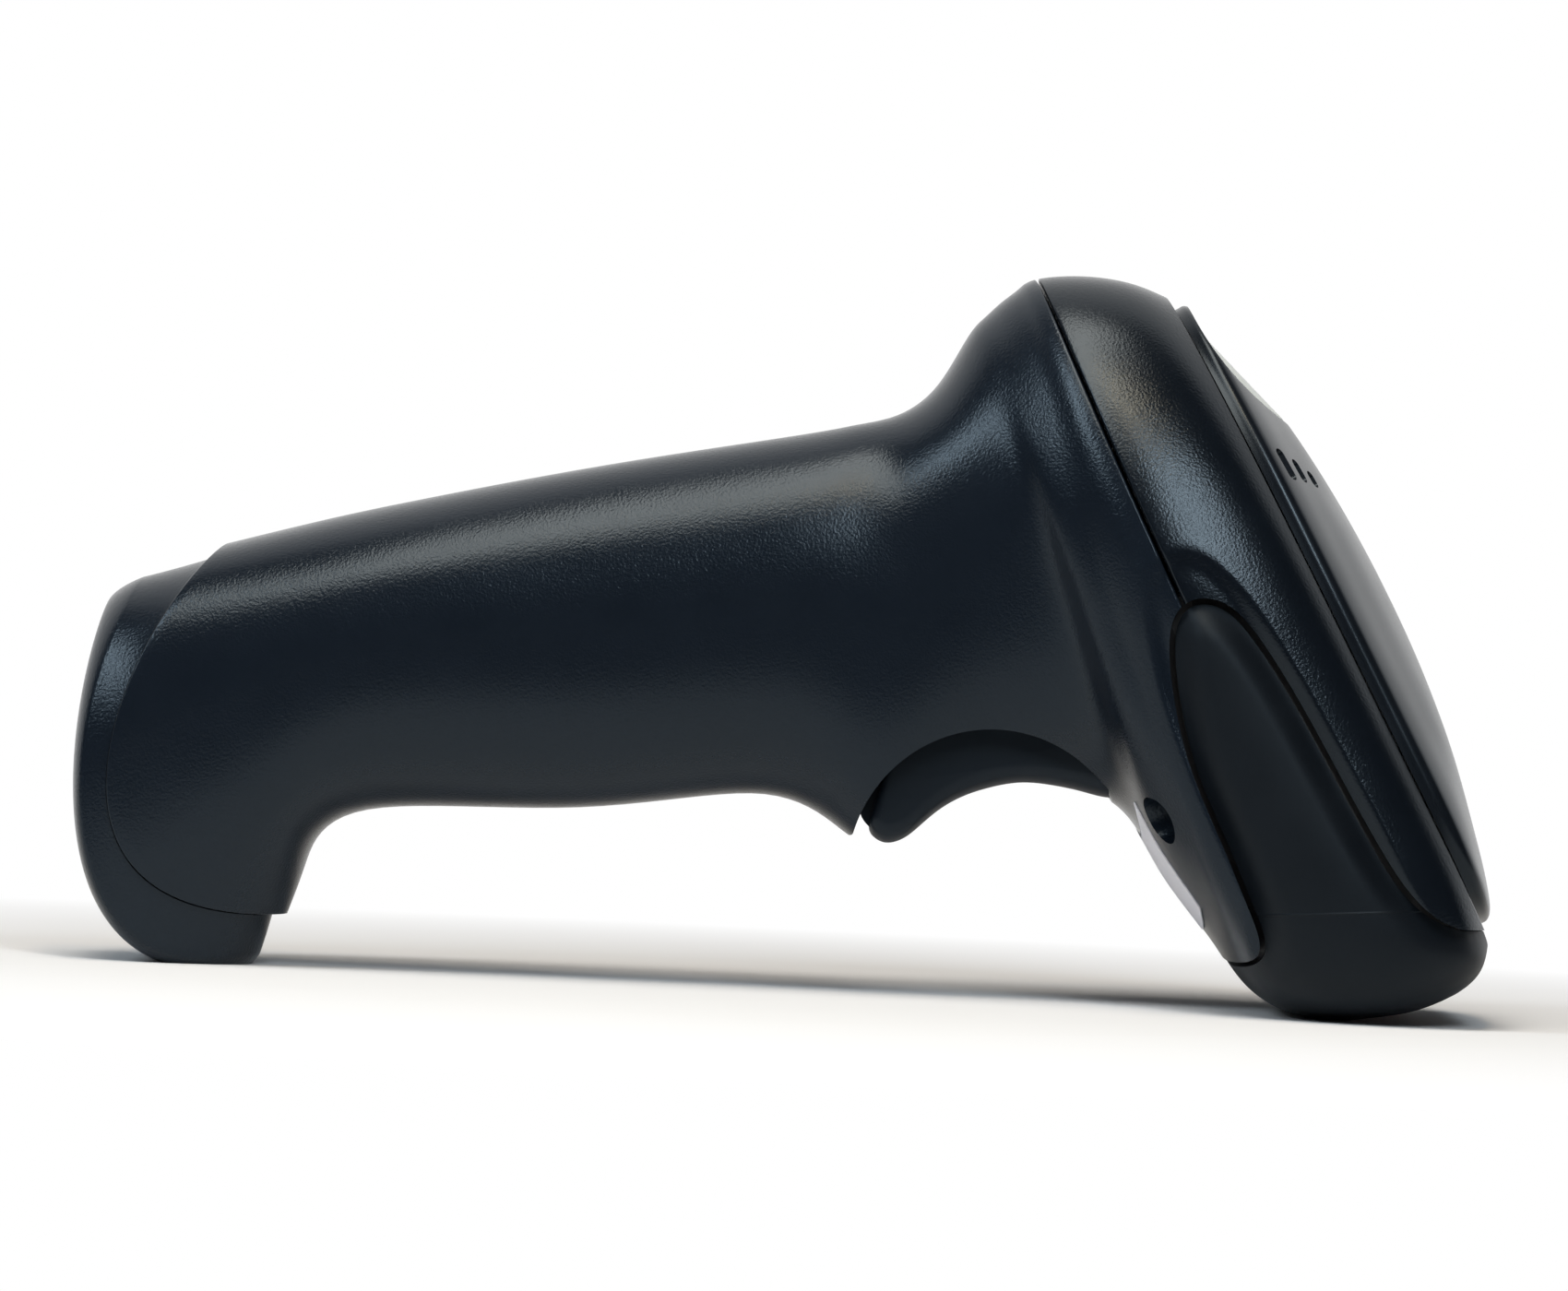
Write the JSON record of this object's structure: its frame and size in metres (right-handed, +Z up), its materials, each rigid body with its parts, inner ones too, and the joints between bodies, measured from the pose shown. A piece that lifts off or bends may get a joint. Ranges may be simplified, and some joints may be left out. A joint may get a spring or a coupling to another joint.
{
  "type": "handheld barcode scanner",
  "caption": "Cordless pistol-grip barcode scanner with a domed head, rubber nose boot, sprung trigger and a laser engine whose mirror swings behind the window.",
  "frame": {"origin": "middle of the footprint on the table, where the heel and the nose rest", "axes": "+X along the scanner from the heel to the nose, +Y across it, +Z up"},
  "size_m": [0.1797, 0.0654, 0.0927],
  "materials": {
    "shell": "fine spark texture, satin",
    "cover": "satin",
    "face": "smooth matte",
    "lens": "translucent white",
    "boot": "dull matte",
    "gasket": "soft",
    "window": "red filter",
    "trigger": "smooth matte",
    "steel": "plain",
    "board": "solder mask",
    "part": "moulded",
    "plunger": "moulded",
    "cell": "shrink sleeve",
    "socket": "moulded",
    "flex": "polyimide",
    "led": "clear",
    "chassis": "moulded",
    "brass": "turned",
    "optic": "polished",
    "mirror": "polished",
    "copper": "enamelled winding"
  },
  "bodies": {
    "body": {"rear_housing": "shell", "head_cover": "cover", "face_cover": "face", "indicator_lens": "lens", "nose_boot": "boot", "nose_frame": "part", "window_gasket": "gasket", "scan_window": "window", "end_cap": "shell", "trigger_pin": "steel", "trigger_spring": "steel", "spring_seat": "part", "trigger_switch": "part", "case_screws": "steel", "main_board": "board", "board_screws": "steel", "battery_holder": "part", "battery_cell": "cell", "cell_contacts": "steel", "charge_port": "steel", "charging_parts": "part", "decoder_chip": "part", "radio_module": "steel", "flex_sockets": "socket", "engine_flex": "flex", "indicator_board": "board", "status_leds": "led", "beeper": "part", "indicator_flex": "flex", "engine_chassis": "chassis", "engine_board": "board", "engine_screws": "steel", "laser_module": "brass", "laser_lens": "optic", "mirror_shaft": "steel", "drive_coil": "copper", "collector_lens": "optic", "detector_board": "board", "photodiode": "part"},
    "trigger": {"trigger": "trigger"},
    "plunger": {"switch_plunger": "plunger"},
    "rotor": {"mirror_rotor": "part", "scan_mirror": "mirror", "rotor_magnet": "steel"}
  },
  "joints": [
    {"name": "trigger_pull", "type": "hinge", "parent": "body", "child": "trigger", "pos_m": [0.0385, 0, 0.0323], "axis": [0, 1, 0], "range_deg": [0, 5], "stiffness_Nm_per_rad": 0.25, "springref_deg": -5.73, "deforming": ["trigger_spring"]},
    {"name": "switch_press", "type": "slide", "parent": "body", "child": "plunger", "axis": [-0.165, 0, 0.9863], "range_m": [0, 0.0016]},
    {"name": "mirror_swing", "type": "hinge", "parent": "body", "child": "rotor", "pos_m": [0.0581, -0.002, 0.03706], "axis": [0.878, 0, 0.4787], "range_deg": [-8, 8], "stiffness_Nm_per_rad": 0.004}
  ],
  "couplings": [
    {"joint": "switch_press", "follows": "trigger_pull", "m_per_rad": 0.0172}
  ]
}
